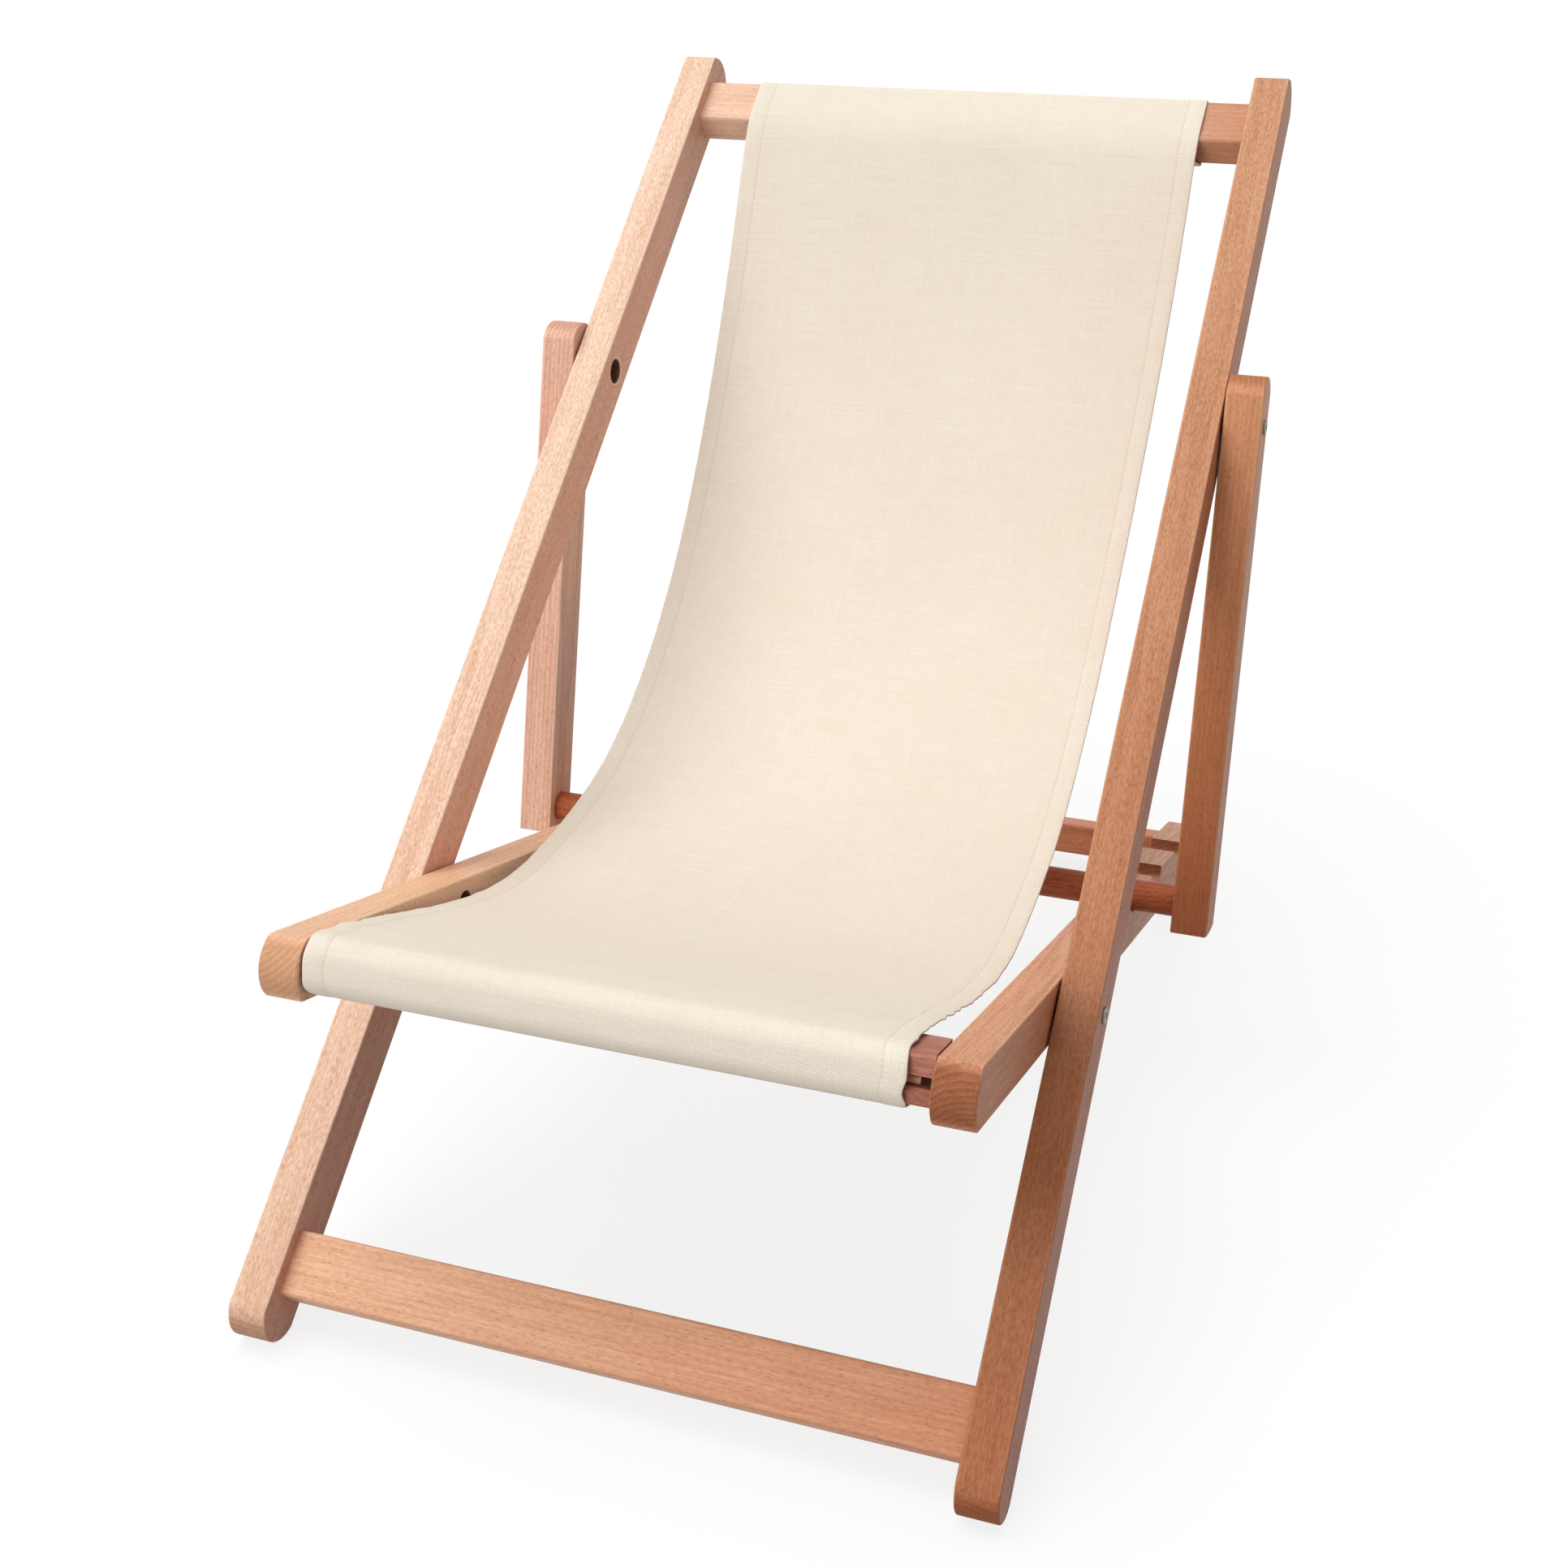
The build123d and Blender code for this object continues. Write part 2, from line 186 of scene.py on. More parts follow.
def growthRings(group, place, rings, wander):
    sway = group.nodes.new("ShaderNodeTexNoise")
    group.links.new(stretch(group, place, wander["stretch"]), sway.inputs["Vector"])
    sway.inputs["Scale"].default_value = 1.0
    sway.inputs["Detail"].default_value = 2.0
    strayed = calcVector(group, "MULTIPLY_ADD", sway.outputs["Color"], wander["reach"], place)
    wave = group.nodes.new("ShaderNodeTexWave")
    wave.wave_type = "RINGS"
    wave.rings_direction = "Y"
    wave.wave_profile = "SAW"
    group.links.new(stretch(group, strayed, (1.0, rings["alongGrain"], 1.0)), wave.inputs["Vector"])
    wave.inputs["Scale"].default_value = rings["scale"]
    wave.inputs["Distortion"].default_value = rings["distortion"]
    wave.inputs["Detail"].default_value = rings["detail"]
    wave.inputs["Detail Scale"].default_value = rings["detailScale"]
    return calc(group, "POWER", wave.outputs["Fac"], rings["sharpness"])


def lengthwise(group, place, part, detail, spread):
    # Noise drawn out along the grain, spread to its full range
    drawn = stretch(group, place, part["stretch"])
    return fade(group, cloudy(group, drawn, part["scale"], detail, 0.6), *spread)


def woodPores(group, place, pores):
    cells = group.nodes.new("ShaderNodeTexVoronoi")
    group.links.new(stretch(group, place, pores["cells"]), cells.inputs["Vector"])
    cells.inputs["Scale"].default_value = 1.0
    chance = group.nodes.new("ShaderNodeSeparateColor")
    group.links.new(cells.outputs["Color"], chance.inputs[0])
    return calc(group, "MULTIPLY", fade(group, cells.outputs["Distance"], *pores["size"], 1.0, 0.0),
                fade(group, chance.outputs[0], *pores["picked"]))


def nearEdges(group, entry, band):
    # 1 at the long corners of the piece's box, by the distance in from its faces
    off = calcVector(group, "ABSOLUTE", calcVector(group, "SUBTRACT", entry["Vector"], entry["Middle"]))
    inside = splitVector(group, calcVector(group, "SUBTRACT", entry["Half"], off))
    return fade(group, calc(group, "MAXIMUM", inside[0], inside[2]), *band, 1.0, 0.0)


def recessShadeAndRimHighlight(group, entry, color, recessShade):
    # Painted shade in the bore, and a painted highlight on the rim round the nut
    fromNut = stretch(group, calcVector(group, "SUBTRACT", entry["Vector"], entry["Recess"]), (0, 1, 1))
    beyond = calc(group, "SUBTRACT", calcVector(group, "LENGTH", fromNut), entry["Recess Radius"])
    rim = calc(group, "MULTIPLY", fade(group, beyond, *recessShade["rimInner"], 0.0, recessShade["rimHighlightShare"]),
               fade(group, beyond, *recessShade["rimOuter"], 1.0, 0.0))
    rimHighlighted = blendColor(group, "SCREEN", rim, color, entry["Pale"])
    boreShade = fade(group, beyond, *recessShade["mouth"], recessShade["depth"], 0.0)
    return blendColor(group, "MULTIPLY", boreShade, rimHighlighted, tone(*recessShade["tint"]))


def beechGroup(setup):
    group, entry, leave = newGroup("beechFigure", [
        ("Vector", "NodeSocketVector", None),
        ("Normal", "NodeSocketVector", None),
        ("Pale", "NodeSocketColor", tone(236, 196, 166)),
        ("Deep", "NodeSocketColor", tone(208, 158, 126)),
        ("Ring Depth", "NodeSocketFloat", 0.3),
        ("Fleck Depth", "NodeSocketFloat", 0.4),
        ("Shade Falloff", "NodeSocketFloat", 0.0),
        ("End Depth", "NodeSocketFloat", 0.8),
        ("Middle", "NodeSocketVector", None),
        ("Half", "NodeSocketVector", None),
        ("Edge Wear And Highlight", "NodeSocketFloat", 0.0),
        ("Side", "NodeSocketColor", (1, 1, 1, 1)),
        ("Shadow Place", "NodeSocketFloat", 0.0),
        ("Shadow Depth", "NodeSocketFloat", 0.0),
        ("Recess", "NodeSocketVector", None),
        ("Recess Radius", "NodeSocketFloat", -1.0),  # below zero for none
    ], [("Color", "NodeSocketColor"), ("Roughness", "NodeSocketFloat"), ("Height", "NodeSocketFloat")])
    place = entry["Vector"]
    along = splitVector(group, place)[1]
    facing = splitVector(group, entry["Normal"])
    ends, pores, seatShadow = setup["ends"], setup["pores"], setup["seatShadow"]
    endGrain = fade(group, calc(group, "ABSOLUTE", facing[1]), *ends["turn"])
    sideFace = fade(group, calc(group, "ABSOLUTE", facing[0]), *setup["sideTurn"])
    flatFace = calc(group, "SUBTRACT", 1.0, endGrain)

    lateWood = growthRings(group, place, setup["rings"], setup["wander"])
    figure = {}
    for name in ("streaks", "bands", "fibres"):
        figure[name] = lengthwise(group, place, setup[name], 2.0, setup["spread"])
    mottle = lengthwise(group, place, setup["mottle"], 1.0, setup["spread"])
    poreMask = woodPores(group, place, pores)

    ringShare = calc(group, "MULTIPLY_ADD", endGrain, setup["rings"]["onEnds"], entry["Ring Depth"])
    depth = calc(group, "MULTIPLY", lateWood, ringShare)
    for name, value in figure.items():
        depth = calc(group, "MULTIPLY_ADD", value, setup[name]["share"], depth)
    fleckPart = calc(group, "MULTIPLY", calc(group, "SUBTRACT", mottle, 0.5), entry["Fleck Depth"])
    depth = calc(group, "MULTIPLY_ADD", fleckPart, flatFace, depth, clamp=True)
    color = blendColor(group, "MIX", depth, entry["Pale"], entry["Deep"])

    poreShare = calc(group, "MULTIPLY_ADD", endGrain, -pores["lessOnEnds"], pores["share"])
    poreDepth = calc(group, "MULTIPLY", poreMask, poreShare)
    color = blendColor(group, "MULTIPLY", poreDepth, color, tone(*pores["tint"]))
    # rubbed edges lightened, partly wear and partly a painted highlight
    uneven = calc(group, "MULTIPLY_ADD", figure["bands"], 0.5, 0.5)
    edgeShare = calc(group, "MULTIPLY", nearEdges(group, entry, setup["edges"]), entry["Edge Wear And Highlight"])
    color = blendColor(group, "SCREEN", calc(group, "MULTIPLY", edgeShare, uneven), color, entry["Pale"])
    # painted shade that falls off along the grain
    falloffShadeShare = calc(group, "MULTIPLY", along, entry["Shade Falloff"], clamp=True)
    color = blendColor(group, "MULTIPLY", falloffShadeShare, color, tone(*setup["driftTint"]))
    leastEnd, moreEnd = ends["share"]
    endPores = calc(group, "MULTIPLY_ADD", cloudy(group, place, ends["scale"], 2.0, 0.6), moreEnd, leastEnd)
    endDepth = calc(group, "MULTIPLY", endGrain, entry["End Depth"])
    endShare = calc(group, "MULTIPLY", endDepth, endPores, clamp=True)
    color = blendColor(group, "MULTIPLY", endShare, color, tone(*ends["tint"]))
    # painted shadow below the seat, kept off the side faces
    fromShadow = calc(group, "ABSOLUTE", calc(group, "SUBTRACT", along, entry["Shadow Place"]))
    shadowDepth = calc(group, "MULTIPLY", entry["Shadow Depth"], calc(group, "SUBTRACT", 1.0, sideFace))
    shadowShare = calc(group, "MULTIPLY", fade(group, fromShadow, *seatShadow["reach"], 1.0, 0.0), shadowDepth)
    color = blendColor(group, "MULTIPLY", shadowShare, color, tone(*seatShadow["tint"]))
    # painted shade on the faces across the chair
    color = blendColor(group, "MULTIPLY", sideFace, color, entry["Side"])
    group.links.new(recessShadeAndRimHighlight(group, entry, color, setup["recessShade"]), leave["Color"])

    rough = setup["roughness"]
    worn = calc(group, "MULTIPLY_ADD", figure["streaks"], rough["streaks"], rough["least"])
    group.links.new(calc(group, "MULTIPLY_ADD", endGrain, rough["ends"], worn), leave["Roughness"])
    relief = setup["relief"]
    fibreRise = calc(group, "MULTIPLY", figure["fibres"], relief["fibres"])
    raised = calc(group, "MULTIPLY_ADD", mottle, entry["Fleck Depth"], fibreRise)
    sunk = calc(group, "MULTIPLY", poreMask, relief["pores"])
    group.links.new(calc(group, "SUBTRACT", raised, sunk), leave["Height"])
    return group


beech = beechGroup(beechSetup)


def newMaterial(name):
    material = bpy.data.materials.new(name)
    material.use_nodes = True
    tree = material.node_tree
    return material, tree, tree.nodes["Principled BSDF"]


def turned(tree, vector, kind, turn, shift=(0, 0, 0)):
    node = tree.nodes.new("ShaderNodeMapping")
    node.vector_type = kind
    tree.links.new(vector, node.inputs["Vector"])
    node.inputs["Rotation"].default_value = turn
    if kind == "POINT":
        node.inputs["Location"].default_value = shift
    return node.outputs[0]


def addBump(tree, height, strength, distance, normal):
    bump = tree.nodes.new("ShaderNodeBump")
    bump.inputs["Strength"].default_value = strength
    bump.inputs["Distance"].default_value = distance
    tree.links.new(height, bump.inputs["Height"])
    tree.links.new(bump.outputs[0], normal)


def grainBox(piece, angles, pith):
    # Middle and half size of a piece as its timber's grain lies
    turning = Euler(angles).to_matrix()
    spots = [turning @ vertex.co + Vector(pith) for vertex in piece.data.vertices]
    low = Vector([min(spot[axis] for spot in spots) for axis in range(3)])
    high = Vector([max(spot[axis] for spot in spots) for axis in range(3)])
    return (low + high) / 2, (high - low) / 2


def beechMaterial(piece, pale, deep, turn, pith, rings=0.3, flecks=0.4, drift=0.0, ends=0.8, edgeWearAndHighlight=0.6,
                  side=(255, 255, 255), seatShadow=(0.0, 0.0), nut=None):
    material, tree, surface = newMaterial(piece.name + "Beech")
    place = tree.nodes.new("ShaderNodeTexCoord")
    figure = tree.nodes.new("ShaderNodeGroup")
    figure.node_tree = beech
    angles = [radians(angle) for angle in turn]
    tree.links.new(turned(tree, place.outputs["Object"], "POINT", angles, pith), figure.inputs["Vector"])
    tree.links.new(turned(tree, place.outputs["Normal"], "NORMAL", angles), figure.inputs["Normal"])
    middle, half = grainBox(piece, angles, pith)
    values = {"Pale": tone(*pale), "Deep": tone(*deep), "Ring Depth": rings, "Fleck Depth": flecks,
              "Shade Falloff": drift, "End Depth": ends, "Middle": middle, "Half": half, "Edge Wear And Highlight": edgeWearAndHighlight,
              "Side": tone(*side)}
    values["Shadow Place"], values["Shadow Depth"] = seatShadow
    if nut:
        values["Recess"] = grainBox(nodes[nut], angles, pith)[0]
        values["Recess Radius"] = beechSetup["recessShade"]["radius"]
    for label, value in values.items():
        figure.inputs[label].default_value = value
    surface.inputs["Specular IOR Level"].default_value = beechSetup["specular"]
    tree.links.new(figure.outputs["Color"], surface.inputs["Base Color"])
    tree.links.new(figure.outputs["Roughness"], surface.inputs["Roughness"])
    addBump(tree, figure.outputs["Height"], *beechSetup["bump"], surface.inputs["Normal"])
    return material


# Each timber has its own tone, those on the right darker partly as painted shade, and its own place beside
# the pith.
# A falloff darkens it along the grain, per metre, as painted shade; a painted shadow below the seat is a dark
# stretch (place along the grain, depth); and side is painted shade on the faces across the chair.
backGrain = (-38.2, 0, 0)  # degrees
seatGrain = (17.2, 0, 0)
propGrain = (-76.4, 0, 0)
crossGrain = (0, 0, 90)
timbers = {
    "back_rail_left": {
        "pale": (250, 220, 196), "deep": (226, 181, 150), "turn": backGrain, "pith": (0.31, -0.6, 0.06),
        "flecks": 0.7, "drift": -0.3, "side": (246, 222, 219), "nut": "prop_pivot_nut_left"},
    "back_rail_right": {
        "pale": (216, 163, 126), "deep": (188, 130, 94), "turn": backGrain, "pith": (-0.22, -0.88, 0.05),
        "flecks": 0.6, "drift": -0.64, "side": (236, 206, 182), "seatShadow": (-0.99, 0.75),
        "nut": "prop_pivot_nut_right"},
    "seat_rail_left": {
        "pale": (250, 202, 163), "deep": (228, 174, 136), "turn": seatGrain, "pith": (0.27, 0.4, -0.21),
        "ends": 0.65, "nut": "seat_pivot_nut_left"},
    "seat_rail_right": {
        "pale": (228, 168, 132), "deep": (190, 128, 94), "turn": seatGrain, "pith": (-0.2725, 1.3, -0.1135),
        "ends": 1.4, "side": (237, 219, 206), "nut": "seat_pivot_nut_right"},
    "prop_rail_left": {
        "pale": (251, 205, 180), "deep": (220, 166, 139), "turn": propGrain, "pith": (0.36, 0.7, 0.05),
        "ends": 0.5, "rings": 0.6},
    "prop_rail_right": {
        "pale": (224, 160, 119), "deep": (198, 133, 91), "turn": propGrain, "pith": (-0.26, -0.615, 0.04),
        "drift": -2.15},
    "top_bar": {
        "pale": (245, 208, 180), "deep": (228, 182, 152), "turn": crossGrain, "pith": (-0.5, 0.26, -0.71),
        "drift": 1.6},
    "bottom_stretcher": {
        "pale": (248, 199, 165), "deep": (222, 165, 131), "turn": crossGrain, "pith": (0.43, 0.26, -0.02),
        "drift": 1.35},
    "rear_bar": {
        "pale": (238, 157, 116), "deep": (202, 121, 84), "turn": crossGrain, "pith": (-0.4, 0.2, -0.09)},
    "front_slat_upper": {
        "pale": (190, 128, 110), "deep": (148, 86, 70), "turn": crossGrain, "pith": (0.47, 0.5, -0.27)},
    "front_slat_lower": {
        "pale": (186, 122, 100), "deep": (146, 84, 66), "turn": crossGrain, "pith": (0.38, 0.8, -0.25)},
    "prop_dowel": {
        "pale": (198, 111, 69), "deep": (148, 69, 40), "turn": crossGrain, "pith": (-0.1, 0.1, -0.12),
        "edgeWearAndHighlight": 0.0},
    "front_hem_rod": {
        "pale": (238, 186, 146), "deep": (208, 150, 110), "turn": crossGrain, "pith": (0.4, 0.3, -0.3),
        "edgeWearAndHighlight": 0.0},
}

for name, timber in timbers.items():
    nodes[name].data.materials.clear()
    nodes[name].data.materials.append(beechMaterial(nodes[name], **timber))
print("timber finished:", len(timbers), "pieces")


# The sunk brads are stopped over, so they take the finish of the prop rail they sit in
for side in ("left", "right"):
    nodes["dowel_brad_" + side].data.materials.clear()
    nodes["dowel_brad_" + side].data.materials.append(nodes["prop_rail_" + side].data.materials[0])


# Zinc-coated steel, a little mottled: bright heads and washers, with the nuts and bolt tips made dark as
# painted shade deep in their recesses
steelSetup = {
    "brightZinc": {"bright": (168, 160, 150), "dull": (104, 97, 90), "pieces": ("bolt", "washer"),
                   "tipShade": (0.27, 0.285)},  # from the centre plane, painted shade inside
    # nuts deep in their recesses, dark with painted shade
    "recessShadeZinc": {"bright": (60, 50, 42), "dull": (30, 25, 20), "pieces": ("nut",)},
}
zincSetup = {"mottle": 260.0, "fine": 1900.0, "roughness": (0.28, 0.3), "bump": (0.2, 0.0002)}


def steelMaterial(name, setup):
    material, tree, surface = newMaterial(name)
    place = tree.nodes.new("ShaderNodeTexCoord")
    mottle = cloudy(tree, place.outputs["Object"], zincSetup["mottle"], 4.0, 0.6)
    fine = cloudy(tree, place.outputs["Object"], zincSetup["fine"], 2.0, 0.5)
    finish = blendColor(tree, "MIX", mottle, tone(*setup["bright"]), tone(*setup["dull"]))
    if "tipShade" in setup:
        across = splitVector(tree, place.outputs["Object"])[0]
        sunk = fade(tree, calc(tree, "ABSOLUTE", across), *setup["tipShade"], 1.0, 0.0)
        finish = blendColor(tree, "MIX", sunk, finish, tone(*steelSetup["recessShadeZinc"]["dull"]))
    tree.links.new(finish, surface.inputs["Base Color"])
    surface.inputs["Metallic"].default_value = 1.0
    least, more = zincSetup["roughness"]
    tree.links.new(calc(tree, "MULTIPLY_ADD", mottle, more, least), surface.inputs["Roughness"])
    addBump(tree, fine, *zincSetup["bump"], surface.inputs["Normal"])
    return material


fastenerCount = 0
for finish, setup in steelSetup.items():
    steel = steelMaterial(finish, setup)
    for name, piece in nodes.items():
        if name.rsplit("_", 1)[0].endswith(setup["pieces"]):
            piece.data.materials.clear()
            piece.data.materials.append(steel)
            fastenerCount += 1
print("steel finished:", fastenerCount, "pieces")


# Canvas: plain weave of round yarns with slubs, darker between the yarns, with painted shade in the stitched
# lines
canvasSetup = {
    "yarnGap": 0.0014,
    "light": (253, 244, 229),
    "shade": (244, 230, 211),
    "slubs": {"range": (0.35, 0.68), "share": 0.55, "rise": 0.5},
    "gaps": {"sharpness": 1.5, "share": 0.8},
    "clouds": {"scale": 9.0, "range": (0.4, 0.75), "share": 0.18},
    # painted shade along the stitched lines
    "seam": (206, 188, 164),
    "seamWidth": (0.0003, 0.0012),
    "seamShadeShare": 0.24,
    "roughness": (0.84, 0.08),  # least, more between the yarns
    "sheen": (0.05, 0.5),  # weight, roughness
    "specular": 0.12,
    "bump": (0.8, 0.0004),
}
threadSetup = {**canvasSetup, "light": (250, 240, 224), "yarnGap": 0.0005, "bump": (0.2, 0.0004)}
weaveSetup = {
    "crown": (0.45, 0.55),  # a yarn's height where it dives and what it gains on top
    "warpSlubs": (700.0, 22.0, 1.0),
    "weftSlubs": (18.0, 700.0, 1.0),
    "slubShares": (0.4, 0.6),
}


def weaveGroup(setup):
    group, entry, leave = newGroup("plainWeave", [
        ("Vector", "NodeSocketVector", None),
        ("Yarn Gap", "NodeSocketFloat", 0.00125),
    ], [("Height", "NodeSocketFloat"), ("Gap", "NodeSocketFloat"), ("Slub", "NodeSocketFloat")])
    spot = splitVector(group, entry["Vector"])
    across = calc(group, "DIVIDE", spot[0], entry["Yarn Gap"])
    along = calc(group, "DIVIDE", spot[1], entry["Yarn Gap"])

    def ridge(count):
        return calc(group, "ABSOLUTE", calc(group, "SINE", calc(group, "MULTIPLY", count, pi)))

    crossing = calc(group, "ADD", calc(group, "FLOOR", across), calc(group, "FLOOR", along))
    warpTop = calc(group, "GREATER_THAN", calc(group, "ABSOLUTE", calc(group, "MODULO", crossing, 2.0)), 0.5)
    dive, gain = setup["crown"]
    warp = calc(group, "MULTIPLY", ridge(across), calc(group, "MULTIPLY_ADD", ridge(along), gain, dive))
    weft = calc(group, "MULTIPLY", ridge(along), calc(group, "MULTIPLY_ADD", ridge(across), gain, dive))
    height = calc(group, "ADD", calc(group, "MULTIPLY", warp, warpTop),
                  calc(group, "MULTIPLY", weft, calc(group, "SUBTRACT", 1.0, warpTop)))
    group.links.new(height, leave["Height"])
    group.links.new(calc(group, "SUBTRACT", 1.0, height, clamp=True), leave["Gap"])
    parts = []
    for name, share in zip(("warpSlubs", "weftSlubs"), setup["slubShares"]):
        slubs = cloudy(group, stretch(group, entry["Vector"], setup[name]), 1.0, 2.0, 0.6)
        parts.append(calc(group, "MULTIPLY", slubs, share))
    group.links.new(calc(group, "ADD", *parts), leave["Slub"])
    return group


weave = weaveGroup(weaveSetup)


def canvasMaterial(name, setup, shadedSeams=()):
    material, tree, surface = newMaterial(name)
    flat = tree.nodes.new("ShaderNodeUVMap")
    flat.uv_map = "cut"
    yarn = tree.nodes.new("ShaderNodeGroup")
    yarn.node_tree = weave
    tree.links.new(flat.outputs[0], yarn.inputs["Vector"])
    yarn.inputs["Yarn Gap"].default_value = setup["yarnGap"]
    slubs, gaps, clouds = setup["slubs"], setup["gaps"], setup["clouds"]
    slubShade = fade(tree, yarn.outputs["Slub"], *slubs["range"], 0.0, slubs["share"])
    gapDepth = calc(tree, "POWER", yarn.outputs["Gap"], gaps["sharpness"])
    gapShade = calc(tree, "MULTIPLY_ADD", gapDepth, gaps["share"], slubShade)
    soft = cloudy(tree, flat.outputs[0], clouds["scale"], 3.0, 0.55)
    cloudShade = fade(tree, soft, *clouds["range"], 0.0, clouds["share"])
    share = calc(tree, "ADD", gapShade, cloudShade, clamp=True)
    color = blendColor(tree, "MIX", share, tone(*setup["light"]), tone(*setup["shade"]))
    # painted shade along the stitched lines
    if shadedSeams:
        across = splitVector(tree, flat.outputs[0])[0]
        lines = []
        for place in shadedSeams:
            away = calc(tree, "ABSOLUTE", calc(tree, "SUBTRACT", across, place))
            lines.append(fade(tree, away, *setup["seamWidth"], setup["seamShadeShare"], 0.0))
        color = blendColor(tree, "MIX", calc(tree, "MAXIMUM", *lines), color, tone(*setup["seam"]))
    tree.links.new(color, surface.inputs["Base Color"])
    least, more = setup["roughness"]
    tree.links.new(calc(tree, "MULTIPLY_ADD", yarn.outputs["Gap"], more, least), surface.inputs["Roughness"])
    sheen, sheenRoughness = setup["sheen"]
    surface.inputs["Sheen Weight"].default_value = sheen
    surface.inputs["Sheen Roughness"].default_value = sheenRoughness
    surface.inputs["Specular IOR Level"].default_value = setup["specular"]
    raised = calc(tree, "MULTIPLY_ADD", yarn.outputs["Slub"], slubs["rise"], yarn.outputs["Height"])
    addBump(tree, raised, *setup["bump"], surface.inputs["Normal"])
    return material


# Sling, as cut: a tunnel round the top bar, the sag, a turn over the front bar, a hem in its slot.
# Places are along and square to the back rail from the seat pivot, or the same for the seat rail.
slingSetup = {
    "backAngle": 38.2,  # degrees
    "seatAngle": 17.2,
    "topBar": ((0.823, 0.870), (-0.0175, 0.0135)),
    "frontBar": ((-0.248, -0.206), (-0.0122, 0.0235)),
    "slotLevel": 0.001,
    "hemEnd": -0.2352,
    "sag": ((0.644, -0.075), (0.411, -0.147), (0.224, -0.147), (0.102, -0.086), (0.013, -0.011)),
    "tunnel": 0.021,
    "lap": 1.3,  # thicknesses between the tunnel's two layers
    "seamUp": 0.0035,  # tunnel stitches, above the cloth's end
    "frontTurn": 0.126,  # the cloth past the sag, round the front bar
    "thick": 0.0012,
    "stand": 0.001,  # middle of the cloth off the wood
    "roll": (0.005, 0.003, 0.004),  # loose round the front bar: ahead, above and below it
    "barTurn": 0.004,
    "leaveTurn": 0.08,  # where the front layer leaves the top bar, a little loose
    "leaveOff": 0.002,
    "rollTurn": 0.016,
    "edgesTop": (-0.2077, 0.2214),
    "edgesFront": (-0.2242, 0.2094),
    "waist": 0.0095,
    "ripple": {"depth": 0.0026, "waves": 85, "start": 0.7, "grow": 0.2},  # of the side edges, near the front
    "held": (0.12, 0.07),  # where the swell fades at the top bar and at the front bar
    "swell": {"depth": 0.0016, "across": 3.1, "along": 4.3},
    "pucker": {"depth": 0.0006, "across": 9, "along": 95, "start": 0.01, "fade": 0.035},
    "step": 0.006,
    "columns": 52,
    "hemColumns": (0, 0.0008, 0.0018, 0.005, 0.009, 0.0125, 0.0142, 0.0155, 0.0168, 0.0185, 0.023),
    "hemWidth": 0.016,
    "hemRise": 0.0005,
    "hemStep": 0.003,
    "rim": {"width": 0.0016, "left": 0.45},  # share of the thickness left at the very edge
    "groove": {"depth": 0.00035, "reach": 0.0022, "inset": 0.0005},  # sunk by the stitches
    "flat": (0.429, 1.410),
}


def square(run):
    return Vector((-run.y, run.x)).normalized()


def turnPoints(before, corner, after, radius, turnStep=9, least=4):
    # Points on the arc that joins two straight runs, a step of degrees apart
    backWay, onWay = (before - corner).normalized(), (after - corner).normalized()
    half = backWay.angle(onWay) / 2
    reach = radius / tan(half)
    middle = corner + (backWay + onWay).normalized() * (radius / sin(half))
    first, last = corner + backWay * reach - middle, corner + onWay * reach - middle
    count = max(least, round(first.angle(last) / radians(turnStep)))
    first, last = first.normalized(), last.normalized()
    return [middle + first.slerp(last, part / count) * radius for part in range(count + 1)]


def sagPoints(before, corner, after, count=24):
    # Quadratic curve between the middles of the two runs at a corner
    first, last = (before + corner) / 2, (corner + after) / 2
    shares = [part / count for part in range(count + 1)]
    return [first.lerp(corner, share).lerp(corner.lerp(last, share), share) for share in shares]


def slingPath(setup):
    stand = setup["stand"]
    fold = radians(setup["backAngle"] + setup["seatAngle"])

    def onBack(along, off):
        # A place on the seat rail, told along and square to the back rail
        return Vector((along * cos(fold) + off * sin(fold), off * cos(fold) - along * sin(fold)))

    (topLow, topHigh), (topBack, topFront) = setup["topBar"]
    (barFront, barRear), (barLow, barHigh) = setup["frontBar"]
    top = [Vector((topLow - stand, topBack - stand)), Vector((topHigh + stand, topBack - stand)),
           Vector((topHigh + stand, topFront + stand)),
           Vector((topLow - stand, topFront + stand + setup["leaveOff"]))]
    sag = [Vector(corner) for corner in setup["sag"]]
    ahead, above, below = setup["roll"]
    front = [onBack(barRear + stand, barHigh + above), onBack(barFront - ahead, barHigh + above),
             onBack(barFront - ahead, barLow - below), onBack(barRear + stand, barLow - below),
             onBack(barRear + stand, setup["slotLevel"])]
    hemEnd = onBack(setup["hemEnd"], setup["slotLevel"])
    downRun = (sag[0] - top[-1]).normalized()
    seam = top[-1] + downRun * setup["tunnel"] + square(downRun) * (setup["lap"] * setup["thick"])

    small = setup["barTurn"]
    points = [seam]
    topRadii = (small, small, small, setup["leaveTurn"])
    for before, corner, after, radius in zip([seam, *top], top, [*top[1:], sag[0]], topRadii):
        points += turnPoints(before, corner, after, radius)
    for before, corner, after in zip([top[-1], *sag], sag, [*sag[1:], front[0]]):
        points += sagPoints(before, corner, after)
    radii = (small, setup["rollTurn"], setup["rollTurn"], small, small / 2)
    for before, corner, after, radius in zip([sag[-1], *front], front, [*front[1:], hemEnd], radii):
        points += turnPoints(before, corner, after, radius)
    return points + [hemEnd]


def evened(points, step, least=1e-6):
    # The same line with more points on its long runs and none twice
    line = [points[0]]
    for point in points[1:]:
        gap = (point - line[-1]).length
        if gap < least:
            continue
        start = line[-1]
        pieces = max(1, round(gap / step))
        line += [start.lerp(point, part / pieces) for part in range(1, pieces + 1)]
    return line


def easeInOut(value):
    value = min(max(value, 0.0), 1.0)
    return value * value * (3 - 2 * value)


